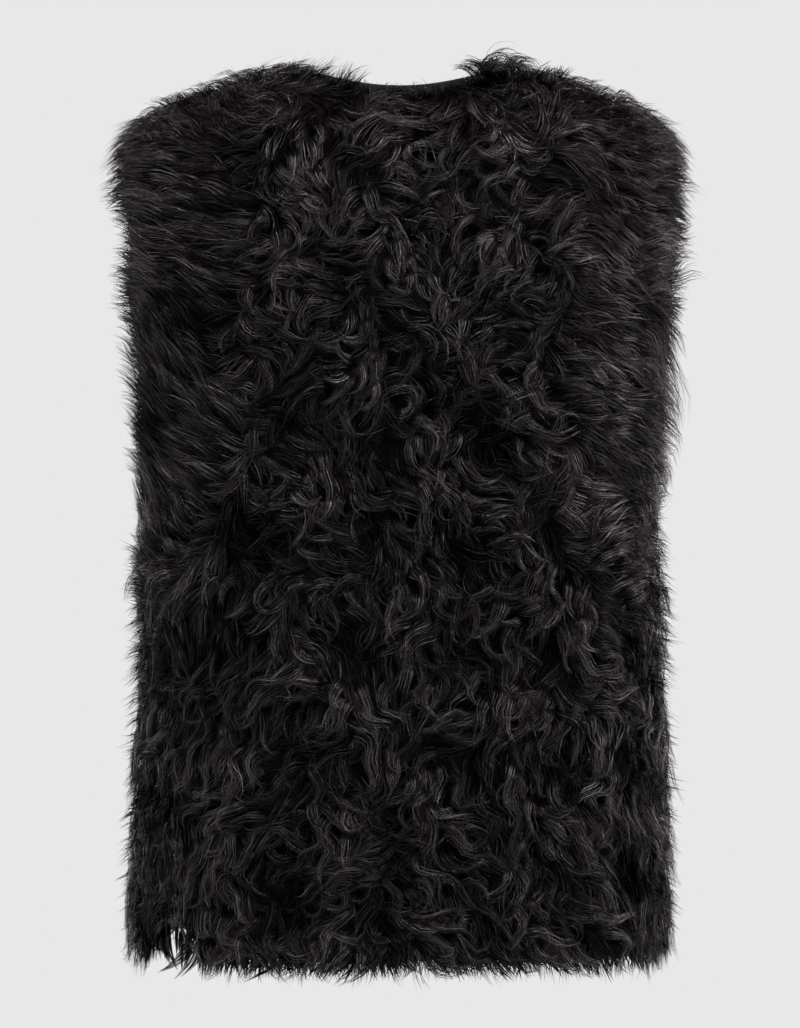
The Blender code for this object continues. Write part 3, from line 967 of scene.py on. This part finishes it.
# Curly locks: ranges of lengths in metres and of angles in radians, and how the zones change them
CURLY_RANGES = {
    "length": (0.036, 0.056),
    "lift": (0.004, 0.014),
    "sway": (0.05, 0.30),
    "lower_sway": (0.35, 0.90),
    "ring": (3.2, 4.6),
    "curl": (0.6, 2.6),
    "flick": (-0.1, 1.2),
    "settle": (-0.25, 0.15),
    "half_width": (0.0042, 0.0080),
    "tip": (0.05, 0.45),
}
LOWER_LONGER = 0.010
RING_CHANCE = 0.03
LOWER_RIGHT_LIFT = 0.15
PROUD_CHANCE = 0.12
PROUD_LIFT = 0.005
PROUD_SETTLE = 0.5
SIDE_LIFT, SIDE_CLUMP_LIFT = 0.007, 0.005
SIDE_SETTLE = 0.25
LOWER_SHINE = {"lower": 0.02}
CURL_WAVE = {"base": 0.050, "lower": -0.006}
CURL_WAVE_JITTER = 0.002
CURL_ROW = 0.044
CURL_ROW_BEND, CURL_ROW_JITTER = 1.2, 0.6
CURLING = {"lower": -0.20, "straight": -0.25, "plush": -0.30}
FLICKING = {"lower": 0.25, "hem": 0.4}

# Combed locks, which the layer underneath and the fuzz start from
COMBED_RANGES = {
    "length": (0.044, 0.064),
    "lift": (0.004, 0.013),
    "sway": (0.05, 0.30),
    "banded_sway": (0.20, 0.45),
    "wave": (0.036, 0.055),
    "phase": (-1.5, 1.5),
    "curl": (0.1, 0.9),
    "flick": (-0.2, 0.7),
    "settle": (-0.4, 0.15),
    "half_width": (0.0040, 0.0065),
    "tip": (0.7, 1.2),
}
# Painted light: brighter colour and lustre for the banded combed locks on the wearer's right, the side of
# the stronger side light
BANDED_PAINTED_LIGHT = {"banded": 0.35}
ATOP_SHORTER = 0.010
ATOP_LIFT = 0.003
BAND_WAVE = 0.045
ATOP_FLICK = {"atop": -0.5}

# The layer underneath, the fuzz, and the last changes to every lock's lift
UNDER_RANGES = {"length": (0.028, 0.042), "lift": (0.001, 0.005), "half_width": (0.0055, 0.0080)}
UNDER_OUTLINE_LIFT = (0.0, 0.006)
UNDER_HEM_SHORTER = 0.004
UNDER_SHINE = 0.6
FUZZ_RANGES = {"length": (0.018, 0.028), "lift": (0.007, 0.016), "hem_flick": (0.3, 1.6)}
FUZZ_NECK_SHORTER = 0.008
FUZZ_EDGE_LIFT = 0.3
FUZZ_SIDE_LIFT = 0.003
FUZZ_SIDE_SETTLE = 0.45
NECK_LIFT, ADDED_LIFT = 0.4, 0.6
NECK_LIFT_BAND = 0.030
TIP_LIFT = 0.0045


def headings(style, at, swirl, wide):
    turning = at.blend(TURNING) * at.blend(TURNING_COMBED)
    angle = turning * swirl(at.middle) + WIDE_TURNING * at.blend(WIDE_COMBED) * wide(at.middle)
    angle = angle + at.jitter(UNRULY_TURN) * at.blend(UNRULY)
    flow = at.flow
    if style is FUZZ:
        angle = at.jitter(FUZZ_TURN) * at.blend(FUZZ_UNRULY)
        inwards = FUZZ_LEAN * np.sign(at.x) * (np.abs(at.x) > FUZZ_UPRIGHT_HALF)
        rising = np.stack([inwards, np.zeros(at.count), np.ones(at.count)], axis=1)
        rising = unit(across_of(rising, at.out))
        flow = np.where((at.below_neck < AT_NECKLINE)[:, None], rising, flow)
    return turned_by(angle, flow, at.out)


def curly_shape(shape, at, hand, clump, wide):
    """Curls, some of them rings, which wave in rows over the lower part."""

    def drawn(name):
        return at.draw(CURLY_RANGES[name])

    shape.length = drawn("length") + LOWER_LONGER * at.lower
    ring = rng.uniform(0.0, 1.0, at.count) < RING_CHANCE * (1 - at.plush) * (1 - at.combed)
    lift = drawn("lift") * clump * (1 + LOWER_RIGHT_LIFT * at.lower * (at.x < 0))
    proud = at.turned * (rng.uniform(0.0, 1.0, at.count) < PROUD_CHANCE)
    flatter = np.minimum(lift, SIDE_LIFT + SIDE_CLUMP_LIFT * clump) - lift
    shape.lift = lift + (flatter * at.turned + PROUD_LIFT * proud)
    shape.shine = shape.shine * at.blend(LOWER_SHINE)
    sway = hand * drawn("sway")
    shape.sway = sway + (drawn("lower_sway") - sway) * at.lower
    shape.wave = at.blend(CURL_WAVE) + at.jitter(CURL_WAVE_JITTER)
    rows = -2 * math.pi * at.z / CURL_ROW + CURL_ROW_BEND * wide(at.middle)
    shape.phase = rows + at.jitter(CURL_ROW_JITTER)
    shape.curl = hand * np.where(ring, drawn("ring"), drawn("curl")) * at.blend(CURLING)
    shape.flick = hand * drawn("flick") * at.blend(FLICKING)
    shape.settle = drawn("settle") - SIDE_SETTLE * at.turned + PROUD_SETTLE * proud
    shape.half_width = drawn("half_width")
    shape.tip = drawn("tip")


def combed_shape(shape, at, hand, clump, heading):
    """Combed locks, which droop a little and lie in waved bands on the wearer's right."""

    def drawn(name):
        return at.draw(COMBED_RANGES[name])

    droop = -np.sign(np.cross(at.out, heading)[:, 2])
    # Painted light: the banded locks on the wearer's right get brighter colour and lustre
    shape.shine = shape.shine * at.blend(BANDED_PAINTED_LIGHT)
    shape.tone = shape.tone * at.blend(BANDED_PAINTED_LIGHT)
    shape.length = drawn("length") - ATOP_SHORTER * at.atop
    shape.lift = drawn("lift") * np.sqrt(clump) + ATOP_LIFT * at.atop
    sway = hand * drawn("sway")
    shape.sway = sway + (drawn("banded_sway") - sway) * at.banded
    shape.wave = drawn("wave")
    bands = 2 * math.pi * at.x / BAND_WAVE * at.banded
    shape.phase = drawn("phase") * (1 - at.banded) + bands
    shape.curl = droop * drawn("curl") * (1 - at.atop)
    shape.flick = droop * drawn("flick") * at.blend(ATOP_FLICK)
    shape.settle = drawn("settle")
    shape.half_width = drawn("half_width")
    shape.tip = drawn("tip")


def under_shape(shape, at):
    """Short, broad, dull locks that close the gaps."""
    shape.length = at.draw(UNDER_RANGES["length"])
    lift = at.draw(UNDER_RANGES["lift"])
    shape.lift = lift + at.draw(UNDER_OUTLINE_LIFT) * at.outline
    shape.half_width = at.draw(UNDER_RANGES["half_width"])
    shape.limit = shape.limit - UNDER_HEM_SHORTER * at.hem
    shape.shine = shape.shine * UNDER_SHINE


def fuzz_shape(shape, at, hand):
    """Short fine ends that stand off the outline."""
    at_neck = np.where(at.below_neck < AT_NECKLINE, FUZZ_NECK_SHORTER, 0.0)
    shape.length = at.draw(FUZZ_RANGES["length"]) - at_neck
    lift = at.draw(FUZZ_RANGES["lift"]) * np.where(at.outline, 1.0, FUZZ_EDGE_LIFT)
    shape.lift = lift + FUZZ_SIDE_LIFT * at.turned
    shape.settle = shape.settle + FUZZ_SIDE_SETTLE * at.turned
    shape.flick = shape.flick + hand * at.draw(FUZZ_RANGES["hem_flick"]) * at.hem


def make_wool(panel, spacing):
    """All the strands that grow on a panel, one group for each style."""
    patterns = (TURN_PATTERN, WIDE_PATTERN, HAND_PATTERN, CLUMP_PATTERN)
    swirl, wide, bend, tufted = (Swirl(*pattern) for pattern in patterns)
    groups = []
    for style in (CURLY, COMBED, UNDER, FUZZ):
        at = Zones(panel, places_for(style, panel, spacing))
        heading = headings(style, at, swirl, wide)
        hand = np.sign(bend(at.middle) + at.jitter(HAND_JITTER) * at.blend(HAND_FREE))
        clump = np.clip(1.0 + at.blend(CLUMPING) * tufted(at.middle), *CLUMP_LIMITS)
        shape = SimpleNamespace(limit=edge_limit(at.middle))
        # Painted light and shade: over a random tone, colour and lustre follow the clump's height, lighter
        # on raised clumps and darker on low ones
        shape.tone = at.draw(LOCK_TONE) * clump
        shape.shine = at.draw(LOCK_SHINE) * clump
        # Random warmth is the wool's own; the extra warmth on combed locks is painted light shining through
        # at the outline
        warm = rng.normal(WARMTH, WARMTH_SPREAD, at.count) + COMBED_WARMTH * at.combed
        shape.warm = np.clip(warm, 0.0, 1.0)
        if style is CURLY:
            curly_shape(shape, at, hand, clump, wide)
        else:
            combed_shape(shape, at, hand, clump, heading)
        if style is UNDER:
            under_shape(shape, at)
        elif style is FUZZ:
            fuzz_shape(shape, at, hand)
        from_neck = NECK_LIFT + ADDED_LIFT * ease(0.0, NECK_LIFT_BAND, at.below_neck)
        shape.lift = shape.lift * from_neck + TIP_LIFT * shoulder_tip(at.x, at.z)
        path, normal, cut = grow(at.middle, heading, shape)
        groups.append(strands(path, normal, cut, shape, style))
    return groups


# Locks that stand at the neck and hang at the hem's corner: distances in metres, angles in degrees
ARC_FACING = (0.0, 1.0, 0.25)
ARC_PROUD_FROM = 0.5
ARC_RANGES = {"tip": (0.1, 0.5), "tone": (0.7, 1.4), "shine": (0.4, 1.0), "warm": (0.0, 0.4)}
ARC_HALF_WIDTH = (0.0030, 0.0060)
TUFT_PROUD = 0.014
TUFT_DEPTH = (-0.002, 0.014)
TUFT_CURLS = (
    # distance across, first angle, turn, length, count: a wave towards the neck, rings, and short ends
    ((0.056, 0.082), (72, 110), (110, 180), (0.030, 0.042), 10),
    ((0.064, 0.090), (112, 150), (-270, -190), (0.036, 0.048), 10),
    ((0.088, 0.130), (40, 80), (-80, 40), (0.018, 0.028), 14),
)
FRINGE_PROUD = 0.007
FRINGE_DEPTH = (0.002, 0.016)
FRINGE_ENDS = ((0.036, 0.086), (55, 100), (-75, -10), (0.019, 0.031), 22)
CORNER_PROUD = 0.008
CORNER_LOCKS = (
    # x, z, first angle, turn, length, half width
    (0.1960, -0.620, -92, 20, 0.048, 0.0040),
    (0.1920, -0.622, -96, 30, 0.050, 0.0040),
    (0.1870, -0.625, -100, 42, 0.046, 0.0036),
    (0.1765, -0.628, -102, 50, 0.046, 0.0028),
    (0.1735, -0.630, -98, 44, 0.042, 0.0024),
    (0.1640, -0.634, -82, -14, 0.036, 0.0026),
    (0.1590, -0.633, -76, -40, 0.036, 0.0024),
    (0.1500, -0.632, -104, -56, 0.050, 0.0050),
    (0.1450, -0.634, -100, -44, 0.046, 0.0050),
)

# Where the hem's wool hangs apart at the wearer's left: middle and half width of each gap
CORNER_GAPS = ((0.1795, 0.0040), (0.1665, 0.0062), (0.1540, 0.0036))
BACK_GAP_BELOW = 0.009
FRONT_GAP_BELOW = 0.005
ARCH_LEAST = 0.05
ARCH_SLACK = 0.003


def arc_locks(starts, proud, style):
    """Locks that bend evenly as seen from behind, with starts as in CORNER_LOCKS."""
    x, z, first, turn, length, half_width = np.array(starts).T
    count = len(x)
    s = np.linspace(0.0, 1.0, FINE)
    angle = np.radians(first[:, None] + turn[:, None] * s)
    step = length[:, None] / (FINE - 1)
    path_x = x[:, None] - np.cumsum(np.cos(angle) * step, axis=1)
    path_y = back.depth_at(x, z)[:, None] + proud * ease(0.0, ARC_PROUD_FROM, s) + SKIN_THICKNESS
    path_z = z[:, None] + np.cumsum(np.sin(angle) * step, axis=1)
    path = np.stack([path_x, path_y, path_z], axis=-1)
    normal = np.broadcast_to(unit(np.array(ARC_FACING)), path.shape)
    drawn = {name: rng.uniform(*span, count) for name, span in ARC_RANGES.items()}
    shape = SimpleNamespace(half_width=half_width, **drawn)
    return strands(path, normal, np.ones(count), shape, style)


def neck_starts(side, depth, across, first, turn, length, count):
    """Starts of locks at the back's neckline, on the wearer's left, 1, or right, -1."""
    x = side * rng.uniform(*across, count)
    z = back.top(x) - rng.uniform(*depth, count)
    bends = [rng.uniform(*span, count) for span in (first, turn, length, ARC_HALF_WIDTH)]
    return np.stack([x, z, *bends], axis=1)


def neck_tuft():
    """Curls that stand at the neck's corner on the wearer's right."""
    starts = np.concatenate([neck_starts(-1, TUFT_DEPTH, *curls) for curls in TUFT_CURLS])
    return arc_locks(starts, TUFT_PROUD, BENT)


def neck_fringe():
    """Fine ends that stand over the neckline on the wearer's left and lean towards the middle."""
    return arc_locks(neck_starts(1, FRINGE_DEPTH, *FRINGE_ENDS), FRINGE_PROUD, WISP)


def part_corner(panel, group):
    """Takes out the strands that hang in the corner's gaps, or root under the arch in the back's hem."""
    at = group["points"].mean(axis=2)
    below = BACK_GAP_BELOW if panel is back else FRONT_GAP_BELOW
    keep = np.ones(len(at), bool)
    for x, half in CORNER_GAPS:
        edge = HEM_Z + CORNER_RISE * corner_notch(np.array(x)) * (panel is back)
        keep &= ~((np.abs(at[..., 0] - x) < half) & (at[..., 2] < edge - below)).any(axis=1)
    if panel is back:
        notch = corner_notch(at[:, 0, 0])
        keep &= (notch < ARCH_LEAST) | (at[:, 0, 2] > HEM_Z + CORNER_RISE * notch - ARCH_SLACK)
    return {key: values[keep] for key, values in group.items()}


def wool_pieces(panel, spacing, count):
    """A panel's wool, as some pieces of about the same size, from the hem up."""
    groups = [part_corner(panel, group) for group in make_wool(panel, spacing)]
    if panel is back:
        groups += [neck_tuft(), neck_fringe(), arc_locks(CORNER_LOCKS, CORNER_PROUD, HANGING)]
    heights = np.concatenate([group["root_z"] for group in groups])
    weights = np.concatenate([np.full(len(g["root_z"]), g["points"].shape[1] - 1) for g in groups])
    order = np.argsort(heights)
    share = np.cumsum(weights[order]) / weights.sum()
    between = [heights[order][np.searchsorted(share, k / count)] for k in range(1, count)]
    limits = [-math.inf, *between, math.inf]
    pieces = []
    for k in range(count):
        parts = []
        for group in groups:
            inside = (group["root_z"] >= limits[k]) & (group["root_z"] < limits[k + 1])
            parts.append({key: values[inside] for key, values in group.items()})
        ending = f"_{k + 1}" if count > 1 else ""
        pieces.append(ribbon_piece(f"{panel.name}_wool{ending}", parts))
    return pieces


made = {
    "back": wool_pieces(back, BACK_SPACING, BACK_PIECES),
    "front_left": wool_pieces(front_left, FRONT_SPACING, FRONT_PIECES),
    "front_right": wool_pieces(front_right, FRONT_SPACING, FRONT_PIECES),
}

# Floor, light and camera
WHITE = (1.0, 1.0, 1.0, 1.0)
FLOOR_Z = -1.42
FLOOR_RADIUS = 4.5
FLOOR_CORNERS = 96
FLOOR_GREY = (0.16, 0.16, 0.16, 1.0)
FLOOR_GLOW = 0.48
BACKDROP_GREY = (0.807, 0.807, 0.807, 1.0)
FILL_LIGHT = 0.45
FILL_IN_GLOSS = 0.03
LIGHT_COLOUR = (1.0, 0.91, 0.955)
SOFTBOXES = (
    # name, place, aim, size, watts
    ("top_light", (0.0, 1.3, 1.5), (0.0, 0.1, -0.25), (1.2, 0.8), 73),
    ("right_light", (-1.9, 1.0, 0.35), (0.0, 0.05, -0.25), (0.6, 1.6), 67),
    ("left_light", (1.9, 1.0, 0.1), (0.0, 0.05, -0.30), (0.6, 1.6), 36),
    ("front_light", (0.0, -3.2, 0.7), (0.0, -0.1, -0.35), (2.4, 1.6), 130),
    ("right_front_light", (-1.9, -1.5, 0.1), (0.0, 0.0, -0.35), (0.6, 1.4), 25),
    ("left_front_light", (1.9, -1.5, 0.1), (0.0, 0.0, -0.35), (0.6, 1.4), 25),
)
CAMERA_DISTANCE = 3.0
CAMERA_Z = -0.3255
SENSOR_MM = 36.0
PICTURE_PIXELS = 1028
METRES_PER_PIXEL = 0.000764


def floor():
    """A pale round floor, which glows faintly so that it stays even."""
    mesh = bpy.data.meshes.new("floor")
    turns = np.linspace(0.0, 2 * math.pi, FLOOR_CORNERS, endpoint=False)
    corners = [(FLOOR_RADIUS * math.cos(a), FLOOR_RADIUS * math.sin(a), FLOOR_Z) for a in turns]
    mesh.from_pydata(corners, [], [range(FLOOR_CORNERS)])
    material, _, _, shader = node_material("pale_floor")
    set_inputs(shader, {"Base Color": FLOOR_GREY, "Roughness": 0.9, "Specular IOR Level": 0.0})
    set_inputs(shader, {"Emission Color": WHITE, "Emission Strength": FLOOR_GLOW})
    mesh.materials.append(material)
    piece = linked("floor", mesh)


def softbox(name, place, aim, size, watts):
    light = bpy.data.lights.new(name, "AREA")
    light.shape = "RECTANGLE"
    light.size, light.size_y = size
    light.energy = watts
    light.color = LIGHT_COLOUR
    lamp = linked(name, light)
    lamp.location = place
    lamp.rotation_euler = (Vector(aim) - Vector(place)).to_track_quat("-Z", "Y").to_euler()
    lamp.visible_camera = False


def studio():
    """A plain backdrop, an even fill that is almost left out of reflections, and the soft lights."""
    world = bpy.data.worlds.new("studio")
    bpy.context.scene.world = world
    world.use_nodes = True
    nodes, links = world.node_tree.nodes, world.node_tree.links
    shown = nodes["Background"]
    set_inputs(shown, {"Color": BACKDROP_GREY, "Strength": 1.0})
    fill = add_node(nodes, "Background", {"Color": WHITE, "Strength": FILL_LIGHT})
    dim = add_node(nodes, "Background", {"Color": WHITE, "Strength": FILL_IN_GLOSS})
    path = add_node(nodes, "LightPath")
    unseen = add_node(nodes, "MixShader")
    mix = add_node(nodes, "MixShader")
    links.new(path.outputs["Is Glossy Ray"], unseen.inputs["Fac"])
    links.new(fill.outputs["Background"], unseen.inputs[1])
    links.new(dim.outputs["Background"], unseen.inputs[2])
    links.new(path.outputs["Is Camera Ray"], mix.inputs["Fac"])
    links.new(unseen.outputs["Shader"], mix.inputs[1])
    links.new(shown.outputs["Background"], mix.inputs[2])
    links.new(mix.outputs["Shader"], nodes["World Output"].inputs["Surface"])
    for box in SOFTBOXES:
        softbox(*box)


def camera():
    data = bpy.data.cameras.new("camera")
    data.sensor_width = SENSOR_MM
    data.lens = SENSOR_MM * CAMERA_DISTANCE / (PICTURE_PIXELS * METRES_PER_PIXEL)
    view = linked("camera", data)
    view.location = (0.0, CAMERA_DISTANCE, CAMERA_Z)
    view.rotation_euler = (math.radians(90), 0.0, math.radians(180))
    bpy.context.scene.camera = view


floor()
studio()
camera()
bpy.context.scene.view_settings.view_transform = "Standard"
